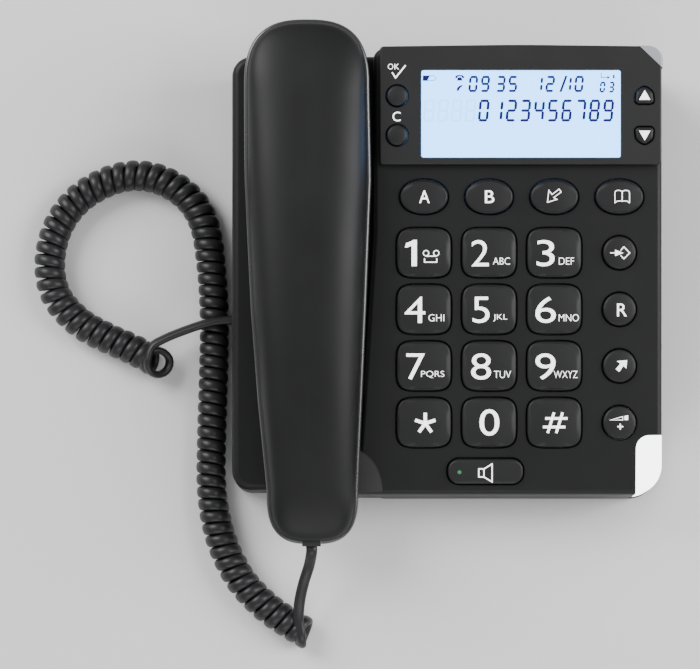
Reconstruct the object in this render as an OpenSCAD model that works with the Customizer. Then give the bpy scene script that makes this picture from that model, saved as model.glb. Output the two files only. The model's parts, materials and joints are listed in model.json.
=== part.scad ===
// Desk telephone with a corded handset, a large display and big keys.
// X is across the phone, Y runs to its rear edge, Z is up. The desk is z = 0.
// "Face" coordinates: u across, v up the sloping key face, n out of that face.

/* [Overall] */
// Slope of the key face in degrees
face_tilt = 7; // [0:0.5:12]
// Height of the key face above the desk at its middle
face_height = 40; // [36:0.5:50]
// Wall thickness of the two base covers
wall = 2.5; // [1.8:0.1:3]
// Running gap round each moving piece
gap = 0.35; // [0.2:0.05:0.6]

/* [Base] */
// Width of the whole base
base_w = 176.8; // [170:0.1:186]
// Front edge of the key block, in Y
block_front = -86.4; // [-92:0.1:-80]
// Rear edge of the key block, in Y
block_rear = 95.6; // [90:0.1:100]
// Corner radius at the front of the key block
front_r = 11; // [6:0.5:16]
// Corner radius at the rear of the key block
rear_r = 5; // [3:0.5:10]
// Depth of the cradle shelf under the key face
cradle_drop = 9; // [6:0.5:12]
// Depth of the floors of the two cradle wells under the key face
well_drop = 14.2; // [12:0.1:16]
// Height of the parting line between the covers
part_z = 7; // [5:0.5:10]
// Height of the underside above the desk
under_z = 2; // [1.5:0.1:4]

/* [Keys] */
// Width of a digit key
key_w = 22.4; // [18:0.1:24]
// Height of a digit key on the face
key_h = 20.4; // [16:0.1:22]
// Spacing of the key columns
pitch_u = 26.7; // [26:0.1:30]
// Spacing of the key rows
pitch_v = 23.2; // [22:0.1:26]
// Middle of the first digit key, across
key_u0 = -9.3; // [-12:0.1:-6]
// Middle of the first digit key, up the face
key_v0 = 12; // [8:0.1:14]
// How far a key stands out of the face
key_out = 2.2; // [1.4:0.1:3]
// Travel of a key
key_travel = 1.4; // [0.8:0.1:1.5]

/* [Display] */
// Width of the display pod
pod_w = 115.3; // [110:0.1:118]
// Height of the display pod on the face
pod_h = 48.8; // [44:0.1:50]
// How far the pod stands out of the face
pod_out = 4; // [2:0.5:6]
// Width of the window
window_w = 81.4; // [70:0.1:84]
// Height of the window
window_h = 35.6; // [30:0.1:38]

/* [Handset] */
// Length of the handset
hand_len = 213.6; // [200:0.1:220]
// Width of the handset at the ear end
hand_w_ear = 51; // [46:0.1:54]
// Width of the handset at the mouth end
hand_w_mouth = 36.6; // [34:0.1:42]
// Height of the handset's back above the key face
hand_top = 24; // [20:0.5:28]
// Wall thickness of the handset shells
hand_wall = 2; // [1.5:0.1:3]

/* [Cord] */
// Outside diameter of the curled part
coil_d = 12.4; // [10:0.1:14]
// Diameter of the cord itself
strand_d = 4.2; // [3:0.1:5]

/* [Hidden] */
$fn = 64;
y0 = 1.131;
E = 0.01;
base_l = block_rear - block_front;
block_mid = (block_rear + block_front) / 2;
side = base_w / 2;
hand_u = -56.6;
ear_u = -57;
ear_v = 70;
mouth_u = -55.4;
mouth_v = -64;
cup_n = -13.9;
seam_n = 8;
pod_u = 30.15;
pod_v = 72.3;
win_u = 30.3;
win_v = 68.7;
hook_x = -57;
hook_y = 67;
jack_y = -12.5;
jack_z = 15;
hjack_n = 4.5;
line_x = 40;
line_z = 15;
pack_x = 20;
pack_y = 38;
pack_w = 54;
pack_l = 60;
door_slide = 5;
slider_x = -8;
slider_z = 16;
spk_x = 22;
spk_y = -32;
feet = [[-74, -66], [-74, 74], [74, -66], [71, 73]];
case_screws = [[-22, -76], [-23.5, 88], [62, -78], [79.8, 87], [-74, -30], [-78, 30]];
board_posts = [[59.6, 11], [59.6, -57], [-24.6, 0.5], [-24.6, -57]];
// curled part of the cord, from the handset's tail round to the base's tail
coil_route = [[-56.6, -143.3], [-66.8, -137.2], [-76.6, -129.8], [-86.2, -118.8], [-93.7, -102.6],
    [-97.4, -83.3], [-97.6, -60.2], [-97, -36], [-96.8, -12], [-98, 9], [-101.2, 29.5], [-109.3, 42],
    [-122.9, 49.4], [-138, 49.2], [-153.6, 41], [-163.2, 28], [-166.4, 12], [-163, -2], [-153, -12.8],
    [-141, -19.4], [-132.5, -23.1], [-127.2, -25.9]];
hand_tail_route = [on_face(-55.3, -108.3, hjack_n), on_face(-55.3, -111, hjack_n), [-56.4, -115.5, 25.6],
    [-58.7, -122.5, 21], [-60.4, -130, 16], [-60.9, -136.5, 13.2], [-60.3, -141.3, 11], [-59.4, -143.4, 7.6]];
base_tail_route = [[-128.4, -25.2, 6.3], [-123, -28.6, 6.9], [-118, -31.8, 9], [-115.8, -28.6, 11.8],
    [-117.4, -23, 14.2], [-113, -18.8, 14.9], [-101, -14.3, 15.3], [-94, -12.8, 15.2], [-87.4, -12.5, 15]];

base_top_cover();
base_bottom_cover();
display_bezel();
display_window();
lcd_module();
keypad_mat();
main_board();
rear_ring_lens();
front_ring_lens();
ring_leds();
loudspeaker();
hook_switch();
hook_plunger();
hook_spring();
base_handset_jack();
line_jack();
battery_door();
batteries();
battery_contacts();
rubber_feet();
base_screws();
ringer_slider();
handset_back_shell();
handset_front_shell();
earpiece_receiver();
handset_microphone();
handset_jack();
handset_weight();
cord_coil();
cord_tail_handset();
cord_tail_base();
handset_plug();
base_plug();
key_light();
digit_key(0, 0);  // key_1
digit_key(1, 0);  // key_2
digit_key(2, 0);  // key_3
digit_key(0, 1);  // key_4
digit_key(1, 1);  // key_5
digit_key(2, 1);  // key_6
digit_key(0, 2);  // key_7
digit_key(1, 2);  // key_8
digit_key(2, 2);  // key_9
digit_key(0, 3);  // key_star
digit_key(1, 3);  // key_0
digit_key(2, 3);  // key_hash
oval_key(0);  // key_memory_a
oval_key(1);  // key_memory_b
oval_key(2);  // key_callers
oval_key(3);  // key_phone_book
round_key(0);  // key_store
round_key(1);  // key_recall
round_key(2);  // key_redial
round_key(3);  // key_boost
pod_key(-20.4, 76);  // key_ok
pod_key(-20.4, 59.9);  // key_clear
arrow_key(76, 0);  // key_up
arrow_key(60, 180);  // key_down
speaker_key();  // key_speaker

// ---------- frames and shared shapes ----------

// face coordinates to the phone's own frame
module face() {
    translate([0, y0, face_height]) rotate([face_tilt, 0, 0]) children();
}

// desk coordinates, with the handset's overhang centred
module desk() {
    translate([0, y0, 0]) children();
}

// rounded rectangle, w by h, middle at the origin
module rrect(w, h, r) {
    square([w - 2 * r, h], center = true);
    square([w, h - 2 * r], center = true);
    for (x = [-1, 1], y = [-1, 1]) translate([x * (w / 2 - r), y * (h / 2 - r)]) circle(r);
}

// upright plate of outline children between levels a and b
module slab(a, b) {
    translate([0, 0, a]) linear_extrude(b - a) children();
}

// box between two corners
module block(a, b) {
    translate(a) cube(b - a);
}

// closed tube of radius r round a list of points
module tube(points, r, sides = 12) {
    n = len(points);
    tangents = [for (i = [0:n - 1]) unit(points[min(i + 1, n - 1)] - points[max(i - 1, 0)])];
    rings = [for (i = [0:n - 1], k = [0:sides - 1])
        let (t = tangents[i])
        let (a = unit(cross(t, [0.02, 0.03, 1])))
        let (b = cross(a, t))
        let (w = 360 * k / sides)
        points[i] + r * (cos(w) * a + sin(w) * b)];
    walls = [for (i = [0:n - 2], k = [0:sides - 1])
        let (m = (k + 1) % sides)
        [i * sides + k, i * sides + m, (i + 1) * sides + m, (i + 1) * sides + k]];
    first = [for (k = [sides - 1:-1:0]) k];
    last = [for (k = [0:sides - 1]) (n - 1) * sides + k];
    polyhedron(rings, concat(walls, [first, last]), convexity = 6);
}

function unit(v) = v / norm(v);

// desk coordinates of a point given in face coordinates
function on_face(u, v, n) = [u, v * cos(face_tilt) - n * sin(face_tilt),
    face_height + v * sin(face_tilt) + n * cos(face_tilt)];

// point on the smooth curve through a route, between points i and i + 1
function through(p, i, t) =
    let (n = len(p))
    let (a = p[max(i - 1, 0)])
    let (b = p[i])
    let (c = p[min(i + 1, n - 1)])
    let (d = p[min(i + 2, n - 1)])
    0.5 * (2 * b + (c - a) * t + (2 * a - 5 * b + 4 * c - d) * t * t + (3 * b - a - 3 * c + d) * t * t * t);

function smooth(p, steps) = concat([for (i = [0:len(p) - 2], k = [0:steps - 1]) through(p, i, k / steps)],
    [p[len(p) - 1]]);

// ---------- base shape ----------

// outline of the whole base, drawn in by d
module base_plan(d) {
    translate([29.15, block_mid]) rrect(118.5 - 2 * d, base_l - 2 * d, rear_r - min(d, rear_r - 1));
    translate([-39.2, 5.1]) rrect(98.4 - 2 * d, 178.2 - 2 * d, 8 - d);
}

// front right corner taken off the outline so that it can be rounder
module front_corner(d) {
    difference() {
        translate([side - front_r, block_front - 5]) square([front_r + 5, front_r + 5]);
        translate([side - front_r, block_front + front_r]) circle(front_r - d);
    }
}

// everything above the cradle shelf, left of the key block, moved outwards by d
module cradle_cut(d) {
    translate([0, 0, -cradle_drop - d]) linear_extrude(60)
        polygon([[-130, 130], [-30 + d, 130], [-30 + d, 20], [-34.2 + d, -50], [-35.7 + d, -90],
            [-35.7 + d, -130], [-130, -130]]);
}

// the two wells that take the ear cup and the mouth cup of the handset
module wells(d) {
    translate([ear_u, ear_v, -well_drop - d]) linear_extrude(40) rrect(41.4 + 2 * d, 37.4 + 2 * d, 14.7 + d);
    translate([mouth_u, mouth_v, -well_drop - d]) linear_extrude(40) rrect(31.4 + 2 * d, 31.4 + 2 * d, 12.7 + d);
}

// solid volume of the base, drawn in by d from every outer surface
module base_space(d, low) {
    difference() {
        desk() difference() {
            translate([0, 0, low]) linear_extrude(70) base_plan(d);
            translate([0, 0, low - 1]) linear_extrude(80) front_corner(d);
        }
        face() translate([-150, -150, -d]) cube([300, 300, 80]);
        face() cradle_cut(d);
        face() wells(d);
    }
}

// outline of the lens at the front right corner, in face coordinates
module front_lens_plan(d) {
    polygon([[77.3 + d, -110], [77.3 + d, -67.5], [82 + d, -62.8 - d], [110, -62.8 - d], [110, -110]]);
}

// outline of the lens at the rear right corner, in face coordinates
module rear_lens_plan(d) {
    polygon([[77.5 + d, 110], [77.5 + d, 97.5], [88.5, 87 + d], [110, 87 + d], [110, 110]]);
}

module digit_plan(d) {
    rrect(key_w + 2 * d, key_h + 2 * d, 6.4 + d);
}

// ellipse
module oval_plan(d) {
    polygon([for (k = [0:47]) [(9.8 + d) * cos(7.5 * k), (7.05 + d) * sin(7.5 * k)]]);
}

module arrow_plan(d) {
    intersection() {
        translate([0, 0.4]) rrect(7.6 + 2 * d, 7 + 2 * d, 2.2 + d);
        translate([0, -2.4]) circle(6.1 + d);
    }
}

module pill_plan(d) {
    rrect(31 + 2 * d, 10.5 + 2 * d, 4.2 + d);
}

function key_u(c) = key_u0 + c * pitch_u;
function key_v(r) = key_v0 - r * pitch_v;

// outlines of all the keys that stand in the lower face, grown by d
module face_key_plans(d) {
    for (c = [0:2], r = [0:3]) translate([key_u(c), key_v(r)]) digit_plan(d);
    for (c = [0:3]) translate([key_u(c), 34.9]) oval_plan(d);
    for (r = [0:3]) translate([70.8, key_v(r)]) circle(6.9 + d);
    translate([15.9, -77.6]) pill_plan(d);
}

// outlines of the four keys in the display pod, grown by d
module pod_key_plans(d) {
    for (v = [76, 59.9]) translate([-20.4, v]) circle(4.2 + d);
    translate([80.7, 76]) arrow_plan(d);
    translate([80.7, 60]) rotate(180) arrow_plan(d);
}

// ---------- base ----------

module base_top_cover() {
    color([0.1, 0.1, 0.11]) difference() {
        union() {
            difference() {
                base_space(0, part_z);
                base_space(wall, -5);
            }
            intersection() {
                base_space(1, part_z);
                desk() for (p = case_screws) translate([p[0], p[1], part_z]) cylinder(d = 8, h = 60);
            }
            face() for (p = board_posts) translate([p[0], p[1], -6.2]) cylinder(d = 4.6, h = 5);
        }
        desk() for (p = case_screws) translate([p[0], p[1], -1]) cylinder(d = 2.6, h = 15);
        face() for (p = board_posts) translate([p[0], p[1], -7]) cylinder(d = 1.8, h = 3.6, $fn = 32);
        face() slab(-6, 1) face_key_plans(gap);
        face() slab(-6, 1) pod_key_plans(gap + 0.6);
        face() translate([win_u, win_v, 0]) slab(-6, 1) square([84.6, 38.6], center = true);
        face() slab(-16.2, 2) front_lens_plan(0);
        face() slab(-16.2, 2) rear_lens_plan(0);
        desk() translate([hook_x, hook_y, 24]) cylinder(d = 7, h = 20);
        desk() translate([-side - 1, jack_y - 4.3, jack_z - 3.8]) cube([wall + 2, 8.6, 7.6]);
        desk() translate([line_x - 6.2, block_rear - wall - 1, line_z - 4.4]) cube([12.4, wall + 2, 8.8]);
        desk() translate([slider_x - 6.2, block_rear - wall - 1, slider_z - 1.9]) cube([12.4, wall + 2, 3.8]);
    }
}

module base_bottom_cover() {
    color([0.09, 0.09, 0.1]) desk() difference() {
        union() {
            difference() {
                slab(under_z, part_z) difference() {
                    base_plan(0);
                    front_corner(0);
                }
                slab(under_z + wall, part_z + 1) difference() {
                    base_plan(wall);
                    front_corner(wall);
                }
            }
            // walls round the batteries
            block([pack_x - 32, pack_y - 34.5, under_z + wall], [pack_x + 32, pack_y + 34.5, 22]);
            // posts for the case screws
            for (p = case_screws) translate([p[0], p[1], under_z]) cylinder(d = 9, h = part_z - under_z);
            // carrier of the hook switch
            block([hook_x - 9, hook_y - 8, under_z + wall], [hook_x + 9, hook_y + 8, 11]);
            // ring that holds the loudspeaker
            translate([spk_x, spk_y, under_z + wall]) cylinder(d = 54, h = 4);
            // shelves under the two sockets
            block([-side + wall + 0.3, jack_y - 6, under_z + wall], [-side + 17, jack_y + 6, jack_z - 5.5]);
            block([line_x - 8, block_rear - wall - 14.3, under_z + wall],
                [line_x + 8, block_rear - wall - 0.3, line_z - 6.5]);
        }
        // room for the cells, open to the underside
        block([pack_x - 29.5, pack_y - 31, under_z + wall], [pack_x + 29.5, pack_y + 31, 20.4]);
        block([pack_x - 28, pack_y - 31, under_z - 1], [pack_x + 28, pack_y + 31, under_z + wall + E]);
        // seat of the sliding door
        block([pack_x - 30.4, pack_y - 33.4, under_z - 1],
            [pack_x + 30.4, pack_y + 33.4 + door_slide, under_z + 1.5]);
        // two slots for the tongues of the door
        for (x = [-18, 18]) translate([pack_x + x, pack_y - 34.6, under_z + 1.45]) cube([10.6, 8, 2.6], center = true);
        for (p = case_screws) translate([p[0], p[1], under_z - 1]) cylinder(d = 3.4, h = 10);
        for (p = case_screws) translate([p[0], p[1], under_z - 1]) cylinder(d = 6.4, h = 3);
        for (p = feet) translate([p[0], p[1], under_z - 1]) cylinder(d = 14.1, h = 2);
        translate([spk_x, spk_y, under_z + wall]) cylinder(d = 50.2, h = 5);
        for (r = [0:2], k = [0:max(0, 6 * r - 1)])
            translate([spk_x, spk_y, under_z - 1]) rotate(60 * k / max(1, r)) translate([7 * r, 0, 0])
            cylinder(d = 2.8, h = 5, $fn = 20);
    }
}

module rubber_feet() {
    color([0.05, 0.05, 0.05]) desk() for (p = feet) translate([p[0], p[1], 0]) cylinder(d = 14, h = under_z + 1);
}

module base_screws() {
    color([0.6, 0.6, 0.62]) {
        desk() for (p = case_screws) translate([p[0], p[1], under_z + 0.4]) difference() {
            union() {
                cylinder(d = 5.8, h = 1.6);
                cylinder(d = 2.5, h = 11);
            }
            translate([0, 0, -0.5]) cylinder(d = 2.4, h = 1.4, $fn = 6);
        }
        face() for (p = board_posts) translate([p[0], p[1], -10.5]) {
            cylinder(d = 3.6, h = 1.4);
            cylinder(d = 1.7, h = 6.6, $fn = 32);
        }
    }
}

module display_bezel() {
    color([0.2, 0.2, 0.21]) face() difference() {
        intersection() {
            translate([pod_u, pod_v, 0]) slab(0, pod_out) rrect(pod_w, pod_h, 1.6);
            translate([pod_u, pod_v - 2000 + pod_h / 2, -1]) cylinder(r = 2000, h = 10, $fn = 2000);
        }
        translate([win_u, win_v, 0]) slab(-1, pod_out + 1) rrect(window_w, window_h, 0.8);
        translate([win_u, win_v, 0]) slab(-1, pod_out - 0.8) square([84.6, 38.6], center = true);
        slab(-1, pod_out + 1) pod_key_plans(gap);
        slab(-1, pod_out + 1) rear_lens_plan(0);
    }
}

module display_window() {
    color([0.75, 0.82, 0.9, 0.35]) face() translate([win_u, win_v, 0])
        slab(pod_out - 2, pod_out - 0.8) square([84.4, 38.4], center = true);
}

module lcd_module() {
    color([0.8, 0.88, 0.96]) face() translate([win_u, win_v, 0]) {
        slab(-wall, pod_out - 2) square([84.2, 38.2], center = true);
        slab(-7, -wall) square([88, 41], center = true);
    }
}

module keypad_mat() {
    color([0.35, 0.35, 0.37]) face() difference() {
        union() {
            block([-26.6, -82, -7.5], [85, 44.6, -6.2]);
            block([-26.6, 44, -7.5], [-14.6, 82, -6.2]);
            block([75.2, 44, -7.5], [85, 82, -6.2]);
        }
        slab(-9, -5) front_lens_plan(-1);
        block([70, -77, -9], [74, -72.6, -5]);
        screw_room();
        for (p = board_posts) translate([p[0], p[1], -9]) cylinder(d = 2.2, h = 5);
    }
}

module main_board() {
    color([0.1, 0.32, 0.18]) face() difference() {
        union() {
            block([-26.6, -80, -9.1], [74.4, 91, -7.5]);
            block([73, -60, -9.1], [84.6, 80, -7.5]);
            // processor and telephone line chips on the underside
            block([10, 20, -10.3], [22, 32, -9.1]);
            block([40, -10, -10.9], [50, 4, -9.1]);
            for (v = [-20, 0, 20]) translate([-14, v, -14.1]) cylinder(d = 6.3, h = 5);
        }
        for (p = board_posts) translate([p[0], p[1], -10]) cylinder(d = 2.2, h = 5);
        screw_room();
    }
}

// room round the posts of the case screws, seen from the face
module screw_room() {
    rotate([-face_tilt, 0, 0]) translate([0, 0, -face_height]) for (p = case_screws)
        translate([p[0], p[1], 0]) cylinder(d = 9.4, h = 90);
}

// solid corner light guides that fill the corners of the covers
module front_ring_lens() {
    color([0.95, 0.97, 1]) intersection() {
        difference() {
            base_space(0, part_z);
            base_space(3, -5);
        }
        face() slab(-16, 2) front_lens_plan(0.1);
    }
}

module rear_ring_lens() {
    color([0.66, 0.68, 0.7]) intersection() {
        difference() {
            desk() slab(part_z, 80) base_plan(0);
            base_space(3, -5);
        }
        face() slab(-16, pod_out) rear_lens_plan(0.1);
        face() translate([pod_u, pod_v - 2000 + pod_h / 2, -30]) cylinder(r = 2000, h = 60, $fn = 2000);
    }
}

module ring_leds() {
    color([0.96, 0.96, 0.9]) face() {
        block([70.4, -76.6, -7.5], [73.6, -73, -5.4]);
        block([71, 89.5, -7.5], [74.2, 91, -5.4]);
    }
}

module loudspeaker() {
    color([0.25, 0.25, 0.27]) desk() translate([spk_x, spk_y, under_z + wall]) {
        cylinder(d = 50, h = 3);
        translate([0, 0, 3]) cylinder(d1 = 44, d2 = 28, h = 4);
        translate([0, 0, 7]) cylinder(d = 26, h = 5);
    }
}

// ---------- hook ----------

module hook_switch() {
    color([0.15, 0.15, 0.17]) desk() difference() {
        union() {
            block([hook_x - 8, hook_y - 7, 11], [hook_x + 8, hook_y + 7, 14.4]);
            translate([hook_x, hook_y, 14.4]) cylinder(d = 5, h = 5);
        }
        translate([hook_x, hook_y, 13.4]) cylinder(d = 3.4, h = 8);
    }
}

// stem that the ear cup of the handset presses down
module hook_plunger() {
    color([0.12, 0.12, 0.13]) desk() difference() {
        translate([hook_x, hook_y, 0]) {
            translate([0, 0, 14]) cylinder(d = 2.6, h = 20);
            translate([0, 0, 23.4]) cylinder(d = 9, h = 1.6);
            translate([0, 0, 23.4]) cylinder(d = 6, h = 11.35);
        }
        translate([0, -y0, 0]) face() translate([ear_u - 15, ear_v - 15, cup_n - 0.12]) cube([30, 30, 20]);
    }
}

module hook_spring() {
    turns = 6;
    low = 14.75;
    high = 23.05;
    color([0.75, 0.76, 0.78]) desk() translate([hook_x, hook_y, 0])
        tube([for (i = [0:turns * 16]) let (w = i * 22.5)
            [3.3 * cos(w), 3.3 * sin(w), low + (high - low) * i / (turns * 16)]], 0.3, 6);
}

// ---------- sockets, batteries, slider ----------

module base_handset_jack() {
    color([0.14, 0.14, 0.15]) desk() difference() {
        block([-side + wall, jack_y - 6, jack_z - 5.5], [-side + 17, jack_y + 6, jack_z + 6]);
        block([-side, jack_y - 4, jack_z - 3.5], [-side + 14.4, jack_y + 4, jack_z + 3.5]);
    }
}

module base_plug() {
    color([0.8, 0.82, 0.8]) desk()
        block([-side + 1.2, jack_y - 3.8, jack_z - 3.3], [-side + 14, jack_y + 3.8, jack_z + 3.3]);
}

module line_jack() {
    color([0.14, 0.14, 0.15]) desk() difference() {
        block([line_x - 8, block_rear - wall - 14, line_z - 6.5], [line_x + 8, block_rear - wall, line_z + 6.5]);
        block([line_x - 5, block_rear - wall - 12, line_z - 3.4], [line_x + 5, block_rear, line_z + 3.4]);
    }
}

module battery_door() {
    color([0.09, 0.09, 0.1]) desk() difference() {
        union() {
            block([pack_x - 30.05, pack_y - 33.05, under_z], [pack_x + 30.05, pack_y + 33.05, under_z + 1.4]);
            for (x = [-18, 18]) translate([pack_x + x, pack_y - 32, under_z + 1.45]) cube([10, 5, 1.8], center = true);
        }
        for (k = [0:5]) translate([pack_x - 12, pack_y + 18 + 2 * k, under_z - 0.5]) cube([24, 1, 1]);
    }
}

module batteries() {
    color([0.2, 0.25, 0.3]) desk() for (k = [-1.5:1:1.5])
        translate([pack_x - 25.2, pack_y + 15 * k, under_z + wall + 7.6]) rotate([0, 90, 0]) {
            cylinder(d = 14.4, h = 49);
            translate([0, 0, 49]) cylinder(d = 5.4, h = 1.4);
        }
}

module battery_contacts() {
    color([0.78, 0.78, 0.75]) desk() for (s = [-1, 1], k = [-1, 1])
        translate([pack_x + s * 29, pack_y + 15 * k, under_z + wall + 7.6]) {
            cube([0.9, 26, 10], center = true);
            for (j = [-7.5, 7.5]) translate([0, j, 0]) rotate([0, -90 * s, 0]) cylinder(d = 6, h = 3.7);
        }
}

module ringer_slider() {
    color([0.16, 0.16, 0.17]) desk() {
        block([slider_x - 2.6, block_rear - wall - 0.3, slider_z - 1.5],
            [slider_x + 2.6, block_rear + 1.4, slider_z + 1.5]);
        block([slider_x - 5.4, block_rear - wall - 2, slider_z - 3.2],
            [slider_x + 5.4, block_rear - wall - 0.2, slider_z + 3.2]);
    }
}

// ---------- keys ----------

// pillowed top, gently curved both ways
module pillow(r, top) {
    intersection() {
        translate([0, 0, top - r]) rotate([0, 90, 0]) cylinder(r = r, h = 60, center = true, $fn = 360);
        translate([0, 0, top - r]) rotate([90, 0, 0]) cylinder(r = r, h = 60, center = true, $fn = 360);
    }
}

module digit_key(c, r) {
    color([0.13, 0.13, 0.14]) face() translate([key_u(c), key_v(r), 0]) {
        intersection() {
            slab(-3.4, key_out) digit_plan(0);
            pillow(110, key_out);
        }
        slab(-4.7, -2.9) rrect(key_w + 1.8, key_h + 1.8, 6.4);
    }
}

module oval_key(c) {
    color([0.13, 0.13, 0.14]) face() translate([key_u(c), 34.9, 0]) {
        intersection() {
            slab(-3.4, key_out) oval_plan(0);
            pillow(90, key_out);
        }
        slab(-4.7, -2.9) oval_plan(1);
    }
}

module round_key(r) {
    color([0.13, 0.13, 0.14]) face() translate([70.8, key_v(r), 0]) {
        intersection() {
            slab(-3.4, key_out) circle(6.9);
            pillow(60, key_out);
        }
        slab(-4.7, -2.9) circle(7.9);
    }
}

module pod_key(u, v) {
    color([0.13, 0.13, 0.14]) face() translate([u, v, 0]) {
        slab(-3.4, pod_out + 1.2) circle(4.2);
        slab(-4.7, -2.9) circle(5.6);
    }
}

module arrow_key(v, turn) {
    color([0.13, 0.13, 0.14]) face() translate([80.7, v, 0]) rotate(turn) {
        slab(-3.4, pod_out + 1.2) arrow_plan(0);
        slab(-4.7, -2.9) arrow_plan(1);
    }
}

module speaker_key() {
    color([0.13, 0.13, 0.14]) face() difference() {
        translate([15.9, -77.6, 0]) {
            intersection() {
                slab(-3.4, key_out) pill_plan(0);
                pillow(110, key_out);
            }
            slab(-4.7, -2.9) rrect(32.8, 12, 4.2);
        }
        translate([5.2, -77.9, -5]) cylinder(d = 1.8, h = 10, $fn = 32);
    }
}

// light pipe in the loudspeaker key
module key_light() {
    color([0.2, 0.7, 0.25]) face() translate([5.2, -77.9, -4.6]) cylinder(d = 1.7, h = 4.6 + key_out - 0.6, $fn = 32);
}

// ---------- handset ----------

// outline of the handset on the face, drawn in by d
module hand_plan(d) {
    top = hand_len / 2;
    hull() {
        for (s = [-1, 1]) {
            translate([hand_u - 0.6 + s * (hand_w_ear / 2 - 20), top - 20]) circle(20 - d);
            translate([hand_u - 0.2 + s * (hand_w_ear / 2 - 8.2), 35]) circle(8 - d);
            translate([hand_u + 1.6 + s * (hand_w_mouth / 2 - 10), -top + 10]) circle(10 - d);
        }
    }
}

// side view of the handset in (v, n), drawn in by d
module hand_side(d) {
    top = hand_len / 2;
    difference() {
        intersection() {
            translate([0, hand_top - 620]) circle(620 - d, $fn = 1440);
            translate([0, 10]) rrect(hand_len - 2 * d, 30 - 2 * d, 9.4 - d);
        }
        translate([2, -19]) rrect(98 + 2 * d, 48 + 2 * d, 9 + d);
    }
}

// whole handset as a solid, drawn in by d
module hand_solid(d) {
    intersection() {
        translate([0, 0, -20]) linear_extrude(60) hand_plan(d);
        translate([hand_u - 60, 0, 0]) rotate([90, 0, 90]) linear_extrude(120) hand_side(d);
    }
    slab(cup_n + d, 4 - d) translate([ear_u, ear_v]) rrect(40 - 2 * d, 36 - 2 * d, 14 - d);
    slab(cup_n + d, 4 - d) translate([mouth_u, mouth_v]) rrect(30 - 2 * d, 30 - 2 * d, 12 - d);
}

module hand_shell() {
    difference() {
        hand_solid(0);
        hand_solid(hand_wall);
    }
}

module handset_back_shell() {
    color([0.11, 0.11, 0.12]) face() {
        intersection() {
            hand_shell();
            block([-100, -120, seam_n], [0, 120, 60]);
        }
        // rails that carry the ballast bar
        for (s = [-1, 1]) translate([hand_u + s * 8, 0, 15]) cube([2, 60, 14.6], center = true);
    }
}

module handset_front_shell() {
    color([0.11, 0.11, 0.12]) face() difference() {
        union() {
            intersection() {
                hand_shell();
                block([-100, -120, -40], [0, 120, seam_n]);
            }
            // seats of the receiver, the microphone and the socket
            translate([ear_u, ear_v, cup_n + 1]) cylinder(d = 36, h = 4);
            translate([mouth_u, mouth_v, cup_n + 1]) cylinder(d = 14, h = 5);
            block([-62, -99.5, -4], [-48.6, -91, hjack_n - 4.4]);
        }
        translate([ear_u, ear_v, cup_n + 2]) cylinder(d = 32.2, h = 8);
        translate([mouth_u, mouth_v, cup_n + 2]) cylinder(d = 10.2, h = 8);
        for (k = [0:5]) translate([ear_u, ear_v, cup_n - 1]) rotate(60 * k) translate([5.5, 0, 0])
            cylinder(d = 2, h = 5, $fn = 20);
        translate([ear_u, ear_v, cup_n - 1]) cylinder(d = 2, h = 5, $fn = 20);
        translate([mouth_u, mouth_v, cup_n - 1]) cylinder(d = 2, h = 5, $fn = 20);
        block([-59.6, -120, hjack_n - 3.7], [-51, -hand_len / 2 + hand_wall + 1, seam_n + 1]);
    }
}

module earpiece_receiver() {
    color([0.5, 0.5, 0.48]) face() translate([ear_u, ear_v, cup_n + 2]) {
        cylinder(d = 32, h = 5);
        translate([0, 0, 5]) cylinder(d = 20, h = 3);
    }
}

module handset_microphone() {
    color([0.6, 0.6, 0.6]) face() translate([mouth_u, mouth_v, cup_n + 2]) cylinder(d = 10, h = 6);
}

module handset_jack() {
    color([0.14, 0.14, 0.15]) face() difference() {
        block([-61.3, -hand_len / 2 + 3.8, hjack_n - 4.4], [-49.3, -91, hjack_n + 4.4]);
        block([-59.3, -110, hjack_n - 3.5], [-51.3, -94, hjack_n + 3.5]);
    }
}

module handset_plug() {
    color([0.8, 0.82, 0.8]) face()
        block([-59.1, -hand_len / 2 - 1, hjack_n - 3.3], [-51.5, -94.4, hjack_n + 3.3]);
}

module handset_weight() {
    color([0.55, 0.56, 0.58]) face() translate([hand_u, 0, 14]) cube([13.9, 56, 10], center = true);
}

// ---------- cord ----------

function lift(p, z) = [p[0], p[1], z];
coil_line = smooth([for (p = coil_route) lift(p, coil_d / 2 + 0.1)], 4);

module cord_coil() {
    color([0.09, 0.09, 0.1]) desk() tube(coil_line, coil_d / 2, 16);
}

module cord_tail_handset() {
    color([0.09, 0.09, 0.1]) desk() tube(smooth(hand_tail_route, 5), strand_d / 2, 12);
}

module cord_tail_base() {
    color([0.09, 0.09, 0.1]) desk() tube(smooth(base_tail_route, 5), strand_d / 2, 12);
}
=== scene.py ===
"""Looks of a corded desk telephone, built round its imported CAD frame."""

import json
import math

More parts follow.
